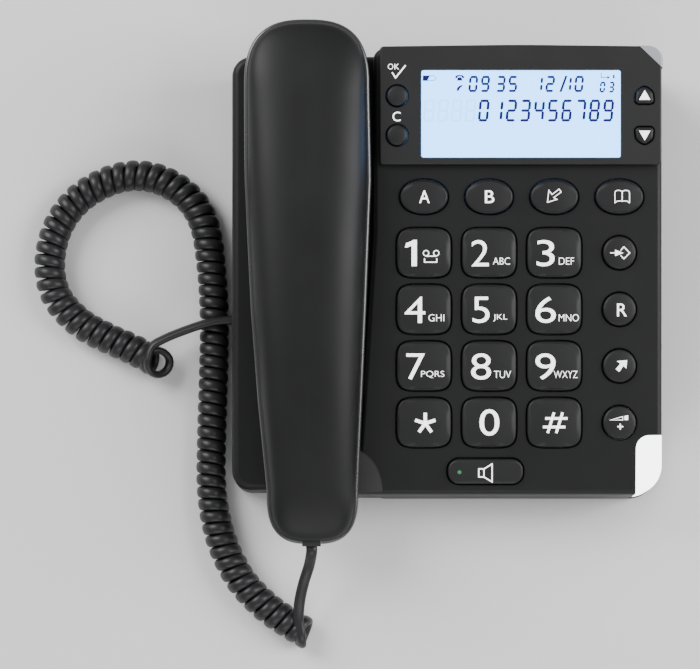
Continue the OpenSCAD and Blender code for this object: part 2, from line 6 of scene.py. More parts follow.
import bmesh
import bpy
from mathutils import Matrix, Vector


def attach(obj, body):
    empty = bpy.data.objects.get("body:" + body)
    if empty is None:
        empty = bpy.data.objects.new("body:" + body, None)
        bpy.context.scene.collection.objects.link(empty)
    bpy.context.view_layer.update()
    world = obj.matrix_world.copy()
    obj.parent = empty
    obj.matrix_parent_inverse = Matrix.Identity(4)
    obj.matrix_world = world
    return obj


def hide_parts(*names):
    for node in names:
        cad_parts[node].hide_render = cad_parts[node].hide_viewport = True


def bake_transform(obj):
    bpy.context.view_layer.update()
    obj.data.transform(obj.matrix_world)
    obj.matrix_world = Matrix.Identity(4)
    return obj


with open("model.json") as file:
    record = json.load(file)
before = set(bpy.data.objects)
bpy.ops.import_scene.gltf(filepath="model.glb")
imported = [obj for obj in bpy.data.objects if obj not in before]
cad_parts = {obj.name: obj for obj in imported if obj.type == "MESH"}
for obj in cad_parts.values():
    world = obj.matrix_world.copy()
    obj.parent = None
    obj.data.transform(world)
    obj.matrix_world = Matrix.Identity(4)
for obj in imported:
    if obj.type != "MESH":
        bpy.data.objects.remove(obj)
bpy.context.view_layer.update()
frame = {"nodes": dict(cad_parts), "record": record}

# ---------- the key face and its coordinates, in millimetres ----------
# u runs across, v up the sloping face, n out of it, as in the CAD.

TILT = math.radians(7.0)
Y0 = 1.131
FACE_H = 40.0
MM = 0.001
SIN, COS, TAN = math.sin(TILT), math.cos(TILT), math.tan(TILT)
OUT = Vector((0, -SIN, COS))  # straight out of the face


def face(u, v, n=0.0):
    """Face coordinates in millimetres to the row frame in metres."""
    return Vector((u, Y0 + v * COS - n * SIN, FACE_H + v * SIN + n * COS)) * MM


def desk(x, y, z):
    """Desk coordinates in millimetres to the row frame in metres."""
    return Vector((x, Y0 + y, z)) * MM


def face_level(y, n):
    """Height above the desk of the plane n, at desk coordinate y."""
    return FACE_H + y * TAN + n / COS


# ---------- materials ----------

PATCH_SCALE = 45.0  # patches of uneven sheen to a metre
GRAIN_DEPTH = 0.00004


def plastic(name, color, rough=0.42, grain=0.00035, bump=0.25, shade=0.12, coat=0.0, gloss=0.4):
    """Moulded plastic: fine spark-eroded grain, slightly uneven sheen."""
    m = bpy.data.materials.new(name)
    m.use_nodes = True
    nt = m.node_tree
    bsdf = nt.nodes["Principled BSDF"]
    coords = nt.nodes.new("ShaderNodeTexCoord")
    fine = nt.nodes.new("ShaderNodeTexNoise")
    fine.inputs["Scale"].default_value = 1.0 / grain
    fine.inputs["Detail"].default_value = 3.0
    broad = nt.nodes.new("ShaderNodeTexNoise")
    broad.inputs["Scale"].default_value = PATCH_SCALE
    broad.inputs["Detail"].default_value = 4.0
    nt.links.new(coords.outputs["Object"], fine.inputs["Vector"])
    nt.links.new(coords.outputs["Object"], broad.inputs["Vector"])
    ramp = nt.nodes.new("ShaderNodeMix")
    ramp.data_type = "RGBA"
    ramp.inputs[6].default_value = (*[c * (1 - shade) for c in color], 1)
    ramp.inputs[7].default_value = (*[min(1, c * (1 + shade)) for c in color], 1)
    nt.links.new(broad.outputs["Fac"], ramp.inputs[0])
    nt.links.new(ramp.outputs[2], bsdf.inputs["Base Color"])
    spread = nt.nodes.new("ShaderNodeMapRange")
    spread.inputs["To Min"].default_value = rough - 0.05
    spread.inputs["To Max"].default_value = rough + 0.07
    nt.links.new(broad.outputs["Fac"], spread.inputs["Value"])
    nt.links.new(spread.outputs["Result"], bsdf.inputs["Roughness"])
    b = nt.nodes.new("ShaderNodeBump")
    b.inputs["Strength"].default_value = bump
    b.inputs["Distance"].default_value = GRAIN_DEPTH
    nt.links.new(fine.outputs["Fac"], b.inputs["Height"])
    nt.links.new(b.outputs["Normal"], bsdf.inputs["Normal"])
    bsdf.inputs["Specular IOR Level"].default_value = gloss
    bsdf.inputs["Coat Weight"].default_value = coat
    bsdf.inputs["Coat Roughness"].default_value = 0.25
    return m


def metal(name, color, rough, brushed=0.0):
    """Bare metal, with a stronger grain where it is brushed."""
    m = plastic(name, color, rough, 0.0006, 0.1 + brushed, 0.08)
    m.node_tree.nodes["Principled BSDF"].inputs["Metallic"].default_value = 1.0
    return m


def glowing(name, color, strength, base=None, rough=0.3):
    """A surface that also gives off light."""
    m = plastic(name, base or color, rough, 0.0005, 0.05, 0.02)
    bsdf = m.node_tree.nodes["Principled BSDF"]
    bsdf.inputs["Emission Color"].default_value = (*color, 1)
    bsdf.inputs["Emission Strength"].default_value = strength
    return m


def clear(name):
    """The clear window over the display."""
    m = bpy.data.materials.new(name)
    m.use_nodes = True
    bsdf = m.node_tree.nodes["Principled BSDF"]
    bsdf.inputs["Base Color"].default_value = (0.02, 0.02, 0.025, 1)
    bsdf.inputs["Roughness"].default_value = 0.06
    bsdf.inputs["Alpha"].default_value = 0.03
    m.surface_render_method = "BLENDED"
    return m


def dress(ob, material):
    """Gives a piece one material in place of those it has."""
    ob.data.materials.clear()
    ob.data.materials.append(material)


BASE = plastic("base_plastic", (0.0082, 0.0084, 0.009), 0.46, gloss=0.29)
HAND = plastic("handset_plastic", (0.0078, 0.008, 0.0086), 0.46, gloss=0.3)
# copy of the handset plastic for the front shell's lip: its gloss is real, its lighter colour is a painted
# highlight along the rim
RIM_PAINTED_HIGHLIGHT = plastic("handset_rim_painted_highlight", (0.02, 0.02, 0.021), 0.27, 0.0004, 0.12, gloss=1.0)
# painted highlight: a lighter, glossier copy of the black base plastic for the front left facet, where it faces
# the light
FACET_PAINTED_HIGHLIGHT = plastic("base_facet_painted_highlight", (0.03, 0.03, 0.031), 0.4, gloss=0.6)
POD = plastic("bezel_plastic", (0.0155, 0.0155, 0.0165), 0.44, gloss=0.34)
KEYS = plastic("key_plastic", (0.012, 0.0122, 0.013), 0.46, 0.0003, 0.3, gloss=0.34)
# white print that also glows: the print is real, the glow is painted light, as the legends are no lamp
PRINT_WITH_PAINTED_GLOW = glowing("printed_white_painted_glow", (1.0, 1.0, 1.0), 1.9, (0.9, 0.9, 0.9), 0.5)
WELL = plastic("well_shadow", (0.006, 0.006, 0.0065), 0.6)
LCD = glowing("lcd_lit", (0.14, 0.45, 1.0), 7.0, (0.1, 0.12, 0.15), 0.35)
LCD_ON = glowing("lcd_segment", (0.004, 0.004, 0.30), 0.4, (0.002, 0.002, 0.06), 0.4)
LCD_OFF = glowing("lcd_ghost", (0.136, 0.437, 0.97), 6.0, (0.1, 0.12, 0.15), 0.35)
WINDOW = clear("window_clear")
LIT = glowing("lens_lit", (0.96, 0.98, 1.0), 4.5, (0.9, 0.9, 0.9), 0.25)
UNLIT = plastic("lens_unlit", (0.36, 0.37, 0.40), 0.3, 0.0006, 0.08, 0.05, 0.4)
GREEN = glowing("led_green", (0.05, 0.5, 0.16), 0.14, (0.03, 0.2, 0.07), 0.25)
CORD = plastic("cord_vinyl", (0.016, 0.016, 0.0175), 0.38, 0.0006, 0.15)

PLAIN = {
    "led_white": plastic("led_white", (0.9, 0.9, 0.84), 0.3),
    "rubber_grey": plastic("rubber_grey", (0.1, 0.1, 0.11), 0.7, 0.0006, 0.5),
    "rubber_black": plastic("rubber_black", (0.02, 0.02, 0.02), 0.75, 0.0006, 0.6),
    "board_green": plastic("board_green", (0.03, 0.15, 0.07), 0.3, 0.001, 0.2, 0.25),
    "steel_screw": metal("steel_screw", (0.62, 0.62, 0.64), 0.3),
    "spring_steel": metal("spring_steel", (0.66, 0.67, 0.7), 0.22),
    "speaker_dark": metal("speaker_dark", (0.07, 0.07, 0.08), 0.45),
    "capsule_metal": metal("capsule_metal", (0.56, 0.56, 0.55), 0.35),
    "socket_plastic": plastic("socket_plastic", (0.02, 0.02, 0.022), 0.3),
    "cell_wrap": plastic("cell_wrap", (0.1, 0.12, 0.16), 0.25),
    "contact_metal": metal("contact_metal", (0.7, 0.7, 0.67), 0.25),
    "ballast_steel": metal("ballast_steel", (0.42, 0.42, 0.44), 0.5, 0.3),
    "plug_clear": plastic("plug_clear", (0.028, 0.029, 0.031), 0.22),
    "base_plastic": BASE,
    "key_plastic": KEYS,
    "window_clear": WINDOW,
    "lcd_lit": LCD,
    "handset_plastic": HAND,
    "bezel_plastic": POD,
    "lens_lit": LIT,
    "lens_unlit": UNLIT,
    "led_green": GREEN,
    "cord_vinyl": CORD,
}
for part in frame["record"]["subparts"]:
    dress(frame["nodes"][part["node"]], PLAIN[part["material_slot"]])

# ---------- meshes ----------

SMOOTH = math.radians(32)  # edges sharper than this stay sharp


def linked(name, data):
    """A new object in the scene."""
    ob = bpy.data.objects.new(name, data)
    bpy.context.scene.collection.objects.link(ob)
    return ob


def mesh_piece(name, points, faces, material, smooth=SMOOTH):
    """A piece from points in the row frame, shaded smooth except at its sharp edges."""
    me = bpy.data.meshes.new(name)
    me.from_pydata([tuple(p) for p in points], [], faces)
    me.validate()
    bm = bmesh.new()
    bm.from_mesh(me)
    bmesh.ops.recalc_face_normals(bm, faces=bm.faces)
    bm.to_mesh(me)
    bm.free()
    me.shade_smooth()
    me.set_sharp_from_angle(angle=smooth)
    me.materials.append(material)
    return linked(name, me)


def quads(rows, n):
    """Faces of a skin between rows of n points each."""
    return [
        (i * n + k, i * n + (k + 1) % n, (i + 1) * n + (k + 1) % n, (i + 1) * n + k)
        for i in range(rows - 1)
        for k in range(n)
    ]


def loft(name, rings, material, smooth=SMOOTH, fan=False):
    """Closed skin through rings of equal count, capped at both ends."""
    n = len(rings[0])
    points = [p for r in rings for p in r]
    faces = quads(len(rings), n)
    faces.append(tuple(range(n - 1, -1, -1)))
    last = (len(rings) - 1) * n
    if fan:
        centre = sum((Vector(p) for p in rings[-1]), Vector()) / n
        points.append(centre)
        faces += [(last + k, last + (k + 1) % n, len(points) - 1) for k in range(n)]
    else:
        faces.append(tuple(range(last, last + n)))
    return mesh_piece(name, points, faces, material, smooth)


def rect(u0, v0, u1, v1):
    """Outline of a rectangle between two opposite corners."""
    return [(u0, v0), (u1, v0), (u1, v1), (u0, v1)]


def circle(cu, cv, r, count):
    """Round outline about (cu, cv)."""
    angles = [k * math.pi / (count / 2) for k in range(count)]
    return [(cu + r * math.cos(w), cv + r * math.sin(w)) for w in angles]


def round_corners(points, radii, seg=10):
    """Outline with each corner of a polygon, given anticlockwise, turned into an arc."""
    out = []
    n = len(points)
    for i in range(n):
        p = Vector(points[i])
        a = (Vector(points[i - 1]) - p).normalized()
        b = (Vector(points[(i + 1) % n]) - p).normalized()
        half = math.acos(max(-1, min(1, a.dot(b)))) / 2
        r = radii[i]
        centre = p + (a + b).normalized() * (r / math.sin(half))
        t0 = p + a * (r / math.tan(half)) - centre
        t1 = p + b * (r / math.tan(half)) - centre
        a0 = math.atan2(t0.y, t0.x)
        turn = (math.atan2(t1.y, t1.x) - a0 + math.pi) % (2 * math.pi) - math.pi
        for k in range(seg + 1):
            w = a0 + turn * k / seg
            out.append((centre.x + r * math.cos(w), centre.y + r * math.sin(w)))
    return out


def dense(outline, step):
    """The same outline with extra points on its long sides."""
    out = []
    for i, p in enumerate(outline):
        q = outline[(i + 1) % len(outline)]
        cuts = max(1, int(math.dist(p, q) / step))
        out += [(p[0] + (q[0] - p[0]) * k / cuts, p[1] + (q[1] - p[1]) * k / cuts) for k in range(cuts)]
    return out


def inset(outline, d):
    """Outline moved inwards by d along its own normals."""
    out = []
    n = len(outline)
    for i in range(n):
        p0, p, p1 = Vector(outline[i - 1]), Vector(outline[i]), Vector(outline[(i + 1) % n])
        a, b = (p - p0).normalized(), (p1 - p).normalized()
        t = (a + b).normalized()
        m = Vector((-t.y, t.x)) * (d / max(0.5, t.dot(a)))
        out.append((p.x + m.x, p.y + m.y))
    return out


def shifted(outline, u, v, turn=0.0):
    """Outline turned about its origin and moved to (u, v)."""
    c, s = math.cos(turn), math.sin(turn)
    return [(u + x * c - y * s, v + x * s + y * c) for x, y in outline]


def rounded_box(cu, cv, w, h, r, seg):
    """Outline of a rounded rectangle about (cu, cv)."""
    return shifted(round_corners(rect(-w / 2, -h / 2, w / 2, h / 2), [r] * 4, seg), cu, cv)


def reach(c, s, power):
    """How far a superellipse lies from its middle in the direction (c, s)."""
    return (abs(c) ** power + abs(s) ** power) ** (-1 / power)


def squircle(a, b, power, count=96, cu=0.0, cv=0.0):
    """Superellipse outline."""
    out = []
    for k in range(count):
        w = 2 * math.pi * k / count
        c, s = math.cos(w), math.sin(w)
        r = reach(c / a, s / b, power)
        out.append((cu + r * c, cv + r * s))
    return out


def boolean(target, cutter, operation="DIFFERENCE"):
    """Cuts, joins or intersects, and removes the cutter."""
    mod = target.modifiers.new("cut", "BOOLEAN")
    mod.operation = operation
    mod.solver = "MANIFOLD"
    mod.object = cutter
    bpy.context.view_layer.update()
    done = bpy.data.meshes.new_from_object(
        target.evaluated_get(bpy.context.evaluated_depsgraph_get())
    )
    target.modifiers.clear()
    old = target.data
    target.data = done
    bpy.data.meshes.remove(old)
    bpy.data.objects.remove(cutter)
    return target


def finish_mesh(ob, smooth=SMOOTH):
    """Shading of a cut mesh: smooth fillets that leave the flats flat."""
    bm = bmesh.new()
    bm.from_mesh(ob.data)
    bmesh.ops.remove_doubles(bm, verts=bm.verts, dist=2e-6)
    bmesh.ops.dissolve_degenerate(bm, edges=bm.edges, dist=1e-6)
    bm.to_mesh(ob.data)
    bm.free()
    ob.data.shade_smooth()
    ob.data.set_sharp_from_angle(angle=smooth)
    mod = ob.modifiers.new("flats", "WEIGHTED_NORMAL")
    mod.keep_sharp = True
    mod.weight = 80
    return ob


def joined(name, obs):
    """Several loose meshes as one."""
    bm = bmesh.new()
    for o in obs:
        bm.from_mesh(o.data)
    me = bpy.data.meshes.new(name)
    bm.to_mesh(me)
    bm.free()
    for mat in obs[0].data.materials:
        me.materials.append(mat)
    for o in obs:
        bpy.data.objects.remove(o)
    return linked(name, me)


def place(ob, body, slot, *nodes):
    """Puts a piece on a body, in place of the nodes it stands for. The slot is not used."""
    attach(ob, body)
    if nodes:
        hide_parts(*nodes)
    return ob


# ---------- camera, square to the key face ----------

SENSOR, DISTANCE, VIEW_WIDTH = 36, 1150, 287
cam_data = bpy.data.cameras.new("camera")
cam_data.sensor_width = SENSOR
cam_data.lens = SENSOR * DISTANCE / VIEW_WIDTH
cam_data.clip_end = 20
cam = linked("camera", cam_data)
cam.location = face(-39.6, -21.5, DISTANCE)
cam.rotation_euler = (TILT, 0, 0)
bpy.context.scene.camera = cam

# ---------- the curled cord ----------

WIDE, THICK, STRAND_POWER, STRAND_SIDES = 4.6, 3.0, 2.7, 12
PITCH, PER_TURN, LIE, COIL_R = 5.0, 20, 6.8, 5.1
JOIN = 5  # the point of the coil where the handset's tail runs into it
OPEN_STEPS, OPEN_MORE = 30, 12  # points of the turn that stands open, and points after it
OPEN_TILT, OPEN_REACH, OPEN_RISE = math.radians(58), 8.4, 2.4
EXIT_U, EXIT_N = -55.3, 4.5
COIL_ROUTE = [
    (-56.6, -143.3), (-66.8, -137.2), (-76.6, -129.8), (-86.2, -118.8), (-93.7, -102.6), (-97.4, -83.3),
    (-97.6, -60.2), (-97, -36), (-96.8, -12), (-98, 9), (-101.2, 29.5), (-109.3, 42), (-122.9, 49.4),
    (-138, 49.2), (-153.6, 41), (-163.2, 28), (-166.4, 12), (-163, -2), (-153, -12.8), (-141, -19.4),
    (-132.5, -23.1), (-127.2, -25.9),
]  # fmt: skip
HAND_TAIL = [
    (-56.4, -115.5, 25.6), (-58.7, -122.5, 21), (-60.4, -130, 16), (-60.9, -137, 12.9), (-60, -144, 11.6),
]  # fmt: skip
BASE_TAIL = [
    (-122.3, -23.6, 14.7), (-117, -20.3, 14.9), (-109.5, -17.2, 15.0), (-101, -14.3, 15.3),
    (-94, -12.8, 15.2), (-87.2, -12.5, 15),
]  # fmt: skip


def smooth_route(points, steps):
    """Points of the smooth curve through a route."""
    out = []
    n = len(points)
    for i in range(n - 1):
        a, b = Vector(points[max(i - 1, 0)]), Vector(points[i])
        c, d = Vector(points[i + 1]), Vector(points[min(i + 2, n - 1)])
        for k in range(steps):
            t = k / steps
            second, third = 2 * a - 5 * b + 4 * c - d, 3 * b - a - 3 * c + d
            out.append(0.5 * (2 * b + (c - a) * t + second * t * t + third * t**3))
    out.append(Vector(points[-1]))
    return out


def evenly(points, step):
    """The same line with points a fixed distance apart."""
    out = [points[0].copy()]
    left = step
    for a, b in zip(points, points[1:]):
        length = (b - a).length
        pos = 0.0
        while length - pos >= left:
            pos += left
            out.append(a + (b - a) * (pos / length))
            left = step
        left -= length - pos
    return out


def eased(t):
    """From 0 to 1, starting and ending gently."""
    t = max(0.0, min(1.0, t))
    return t * t * (3 - 2 * t)


def coil_radius(p):
    """The coil is a little tighter along its straight run."""
    straight = eased((75 - abs(p.y + 36)) / 40) if p.x > -106 else 0.0
    return COIL_R - 0.4 * straight


# the coil: a left-handed helix round its route, ending in a turn that stands open towards the viewer
axis = evenly(smooth_route([(x, y, LIE) for x, y in COIL_ROUTE], 12), PITCH / PER_TURN)
heading = (axis[-1] - axis[-9]).normalized()
middles = [
    (p, (axis[min(i + 1, len(axis) - 1)] - axis[max(i - 1, 0)]).normalized(), coil_radius(p))
    for i, p in enumerate(axis)
]
for i in range(1, OPEN_STEPS + OPEN_MORE + 1):
    k = i / OPEN_STEPS
    lift = OPEN_TILT * eased(k)
    aim = heading * math.cos(lift) + Vector((0, 0, math.sin(lift)))
    rise = OPEN_RISE * eased(k) + 0.2 * max(0, i - OPEN_STEPS)
    middles.append((axis[-1] + heading * OPEN_REACH * min(1.0, k) + Vector((0, 0, rise)), aim, COIL_R))
turns, sides_of = [], []
up = Vector((0, 0, 1))
for i, (p, t, r) in enumerate(middles):
    up = (up - t * up.dot(t)).normalized()
    w = 2 * math.pi * i / PER_TURN
    out = up * math.cos(w) - t.cross(up) * math.sin(w)
    turns.append(p + out * r)
    sides_of.append(out)


def leaving(v):
    """Point on the straight line out of the handset's socket, in desk millimetres."""
    return face(EXIT_U, v, EXIT_N) / MM - Vector((0, Y0, 0))


TAIL_STEPS = 10
into_coil = [leaving(-107.8), leaving(-110.6), *HAND_TAIL, turns[JOIN - 1], turns[JOIN + 1]]
lead_in = smooth_route(into_coil, TAIL_STEPS)[:-TAIL_STEPS]
lead_out = smooth_route([turns[-3], turns[-1], *BASE_TAIL], TAIL_STEPS)[TAIL_STEPS + 1 :]
strand = lead_in + turns[JOIN:] + lead_out
first, last = len(lead_in), len(lead_in) + len(turns) - JOIN - 1


def strand_sides(line):
    """Thin direction of the flat strand at each point: outwards in the coil, carried along the two tails."""
    ways = [(line[min(i + 1, len(line) - 1)] - line[max(i - 1, 0)]).normalized() for i in range(len(line))]
    sides = [None] * len(line)
    for i in range(first, last + 1):
        sides[i] = sides_of[i - first + JOIN]
    for order in (range(first - 1, -1, -1), range(last + 1, len(line))):
        step = 1 if order.step < 0 else -1
        for i in order:
            sides[i] = sides[i + step]
            sides[i] = (sides[i] - ways[i] * sides[i].dot(ways[i])).normalized()
    # the tail from the handset lies flat side up
    for i in range(first):
        flat = (OUT - ways[i] * OUT.dot(ways[i])).normalized()
        if flat.dot(sides[i]) < 0:
            flat.negate()
        sides[i] = sides[i].lerp(flat, eased((first - i) / first * 1.6)).normalized()
    return ways, sides


def flat_strand(name, line, material):
    """Flat strand with rounded edges, in the row frame."""
    ways, sides = strand_sides(line)
    rings = []
    for p, t, thin in zip(line, ways, sides):
        thin = (thin - t * thin.dot(t)).normalized()
        wide = t.cross(thin)
        ring = []
        for k in range(STRAND_SIDES):
            w = 2 * math.pi * (k + 0.5) / STRAND_SIDES
            c, s = math.cos(w), math.sin(w)
            r = reach(c, s, STRAND_POWER)
            ring.append(desk(*(p + wide * (WIDE / 2 * r * c) + thin * (THICK / 2 * r * s))))
        rings.append(ring)
    return loft(name, rings, material, math.radians(80))


cord = flat_strand("curled_cord", strand, CORD)
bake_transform(cord)
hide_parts("cord_coil", "cord_tail_handset", "cord_tail_base")

# ---------- base shells ----------

LONG = 6  # longest piece of an outline's straight sides
WING = dense(round_corners(rect(-88.4, -84.0, 10, 94.2), [8, 8, 8, 8]), LONG)
KEYFACE = dense(
    round_corners(
        [(-37.0, -86.4), (88.4, -86.4), (88.4, 95.6), (-30.1, 95.6), (-30.1, 20), (-34.6, -50), (-36.8, -80)],
        [1, 12, 5, 5, 30, 60, 12],
    ),
    LONG,
)
SHELF_N = -9.0
SKIRT, FILLET = 7.0, 2.2  # lowest level of the upper shell, and the rounding of its edge


def sloped(name, outline, top_n, fillet, low, d=0.0, material=BASE):
    """Upright walls round an outline, closed by a sloping top with a rounded edge, all drawn in by d."""
    steps = 7
    shape = inset(outline, d) if d else outline
    rings = [[desk(x, y, low) for x, y in shape]]
    for k in range(steps + 1):
        w = math.pi / 2 * k / steps
        move = fillet * (1 - math.cos(w))
        drop = fillet * (1 - math.sin(w))
        ring = inset(shape, move) if move else shape
        rings.append([desk(x, y, face_level(y, top_n - d) - drop) for x, y in ring])
    return loft(name, rings, material)


def cutter(outline, levels):
    """Closed tool through an outline grown by each level's amount, at each level's height."""
    return loft("tool", [[face(u, v, n) for u, v in inset(outline, -grow)] for n, grow in levels], WELL)


def key_well(outline, gap=0.42, deep=-5.5, top=0.0, lip=0.4):
    """Tool for a key's opening, with a small rounded lip at the surface."""
    bend = (0, 0.4, 0.8, 1.15)
    flare = [(top - lip + lip * math.sin(w), gap + lip * (1 - math.cos(w))) for w in bend]
    last = flare[-1]
    slope = (last[1] - flare[-2][1]) / (last[0] - flare[-2][0])
    flare.append((top + 0.6, last[1] + slope * (top + 0.6 - last[0])))
    return cutter(outline, [(deep, gap), *flare])


DIGIT = squircle(11.1, 10.1, 4.3)
OVAL = squircle(9.75, 7.0, 2.1)
ROUND = squircle(6.75, 6.75, 2)
SMALL = squircle(4.15, 4.15, 2)
PILL = round_corners(rect(-15.4, -5.1, 15.4, 5.1), [4.6] * 4, 14)
ARROW = round_corners(
    [(-3.9, -3.2), (3.9, -3.2), (3.4, 1.6), (0, 4.2), (-3.4, 1.6)], [1.5, 1.5, 2.4, 2.4, 2.4], 8
)

KEY_U, KEY_V = [-9.3, 17.4, 44.1], [12, -11.2, -34.4, -57.6]
ROUND_U, OVAL_V = 70.8, 34.9
SMALL_U, ARROW_U, POD_V = -20.4, 80.7, (76, 60)
CLEAR_V, PILL_AT = 59.9, (15.9, -77.6)
EAR, MOUTH = (-57, 70, 40, 36, 14), (-55.4, -64, 30, 30, 12)  # middle, width, height and corner of the cups
LENS_F = round_corners([(77.3, -110), (110, -110), (110, -62.8), (77.7, -62.8)], [1, 1, 1, 5.5], 8)
LENS_R = [(77.5, 110), (77.5, 97.5), (88.5, 87), (110, 87), (110, 110)]

cover = sloped("base_cover", KEYFACE, 0.0, FILLET, SKIRT)
shelf = sloped("shelf", WING, SHELF_N, 3.0, SKIRT)
boolean(cover, shelf, "UNION")
WALL = 2.5
hollow = sloped("hollow", KEYFACE, 0.0, 1.0, 3.0, WALL)
hollow_shelf = sloped("hollow_shelf", WING, SHELF_N, 1.0, 3.0, WALL)
boolean(hollow, hollow_shelf, "UNION")


def well_tool(cup_box, grow, floor, flare):
    """Tool for a cradle well round one of the handset's cups, opened out at its rim if flare is set."""
    levels = [(floor, grow - 1.2), (floor + 0.35, grow - 0.35), (floor + 1.2, grow)]
    if flare:
        rim = ((-1.6, 0), (-0.9, 0.15), (-0.4, 0.5), (0.3, 1.3))
        levels += [(SHELF_N + rise, grow + more) for rise, more in rim]
    levels.append((SHELF_N + 12, grow + (1.4 if flare else 0)))
    return cutter(rounded_box(*cup_box, 12), levels)


WELL_GAP, WELL_N = 0.7, -14.2
for cup_box in (EAR, MOUTH):
    boolean(hollow, well_tool(cup_box, WELL_GAP + WALL, WELL_N - WALL, False))
    boolean(cover, well_tool(cup_box, WELL_GAP, WELL_N, True))
boolean(cover, hollow)

wells = [key_well(shifted(DIGIT, u, v)) for u in KEY_U for v in KEY_V]
wells += [key_well(shifted(OVAL, u, OVAL_V)) for u in (*KEY_U, ROUND_U)]
wells += [key_well(shifted(ROUND, ROUND_U, v)) for v in KEY_V]
wells.append(key_well(shifted(PILL, *PILL_AT)))
boolean(cover, joined("tools", wells))
under_pod = [cutter(rect(-12.0, 49.4, 72.6, 88.0), [(-6, 0), (2, 0)])]
for outline in (
    shifted(SMALL, SMALL_U, POD_V[0]),
    shifted(SMALL, SMALL_U, CLEAR_V),
    shifted(ARROW, ARROW_U, POD_V[0]),
    shifted(ARROW, ARROW_U, POD_V[1], math.pi),
):
    under_pod.append(cutter(outline, [(-6, 1), (2, 1)]))
boolean(cover, joined("tools", under_pod))

# the shallow facet at the front left corner of the key block
DISH_U, DISH_V = -37.6, -87.3
dish = [
    [face(DISH_U + x, DISH_V + y, -0.25 - 0.05 * (11.9 - x)) for x, y in squircle(11.6, 18.6, 2, 48)],
    [face(DISH_U + x, DISH_V + y, 6) for x, y in squircle(12.0, 19.0, 2, 48)],
]
boolean(cover, loft("tool", dish, WELL))


def upright_tool(outline, low, high):
    """Closed tool through an outline on the desk, from one height to another."""
    return loft("tool", [[desk(x, y, z) for x, y in outline] for z in (low, high)], WELL)


# openings for the handset's socket, the line socket, the ringer switch and the hook plunger
boolean(cover, upright_tool(rect(-90, -16.8, -85, -8.2), 11.2, 18.8))
boolean(cover, upright_tool(rect(33.8, 92, 46.2, 98), 10.6, 19.4))
boolean(cover, upright_tool(rect(-14.2, 92, -1.8, 98), 14.1, 17.9))
boolean(cover, upright_tool(circle(-57, 67, 3.5, 40), 24, 44))

lens = sloped("front_lens", KEYFACE, 0.0, FILLET, SKIRT, material=LIT)
boolean(lens, cutter(inset(LENS_F, 0.12), [(-16, 0), (8, 0)]), "INTERSECT")
boolean(lens, sloped("inner", KEYFACE, 0.0, 1.0, 3.0, 3.0))
boolean(cover, cutter(LENS_F, [(-16.2, 0), (8, 0)]))
REAR_BLOCK = dense(round_corners(rect(-30.1, -86.4, 88.3, 95.5), [5, 12, 6, 5]), LONG)
rear = sloped("rear_lens", REAR_BLOCK, 4.0, 0.9, SKIRT, material=UNLIT)
boolean(rear, cutter(inset(LENS_R, 0.12), [(-16, 0), (12, 0)]), "INTERSECT")
boolean(rear, sloped("inner", REAR_BLOCK, 4.0, 0.9, 3.0, 2.4))
boolean(cover, cutter(LENS_R, [(-16.2, 0), (12, 0)]))
for ob, mat in ((cover, BASE), (lens, LIT), (rear, UNLIT)):
    dress(ob, mat)
    finish_mesh(ob)
# the large faces of the front left facet take the lighter copy of the base plastic: a painted highlight
cover.data.materials.append(FACET_PAINTED_HIGHLIGHT)
FACET_AREA, FACET_REACH = 3e-5, 0.008
for p in cover.data.polygons:
    if p.area > FACET_AREA and (p.center - face(-33, -78, -0.6)).length < FACET_REACH:
        p.material_index = 1
place(cover, "base", "base_plastic", "base_top_cover")
place(lens, "base", "lens_lit", "front_ring_lens")
place(rear, "base", "lens_unlit", "rear_ring_lens")

# ---------- display pod ----------

POD_SHAPE = dense(
    round_corners(
        [(-27.5, 47.9), (87.8, 47.9), (87.8, 96.3), (30.1, 97.0), (-27.5, 96.3)], [1.6, 1.6, 5, 900, 1.8], 12
    ),
    LONG,
)
POD_N = 4.0


def face_slab(name, outline, low, high, fillet, material, steps=5):
    """Plate parallel to the face, with a rounded upper edge."""
    rings = [[face(u, v, low) for u, v in outline]]
    for k in range(steps + 1):
        w = math.pi / 2 * k / steps
        ring = inset(outline, fillet * (1 - math.cos(w)))
        rings.append([face(u, v, high - fillet * (1 - math.sin(w))) for u, v in ring])
    return loft(name, rings, material)


pod = face_slab("display_pod", POD_SHAPE, 0.02, POD_N, 0.8, POD)
WIN = round_corners(rect(-10.4, 50.9, 71.0, 86.5), [0.9] * 4, 6)
boolean(pod, cutter(WIN, [(-1, 0), (3.4, 0), (3.75, 0.1), (4.6, 0.95)]))
boolean(pod, cutter(rect(-11.9, 49.5, 72.5, 87.9), [(-1, 0), (3.2, 0)]))
pod_wells = [key_well(shifted(SMALL, SMALL_U, v), 0.45, -1, POD_N, 0.5) for v in (POD_V[0], CLEAR_V)]
pod_wells.append(key_well(shifted(ARROW, ARROW_U, POD_V[0]), 0.4, -1, POD_N, 0.45))
pod_wells.append(key_well(shifted(ARROW, ARROW_U, POD_V[1], math.pi), 0.4, -1, POD_N, 0.45))
boolean(pod, joined("tools", pod_wells))
boolean(pod, cutter(LENS_R, [(-16.2, 0), (12, 0)]))
dress(pod, POD)
finish_mesh(pod)
place(pod, "base", "bezel_plastic", "display_bezel")

# ---------- keys ----------


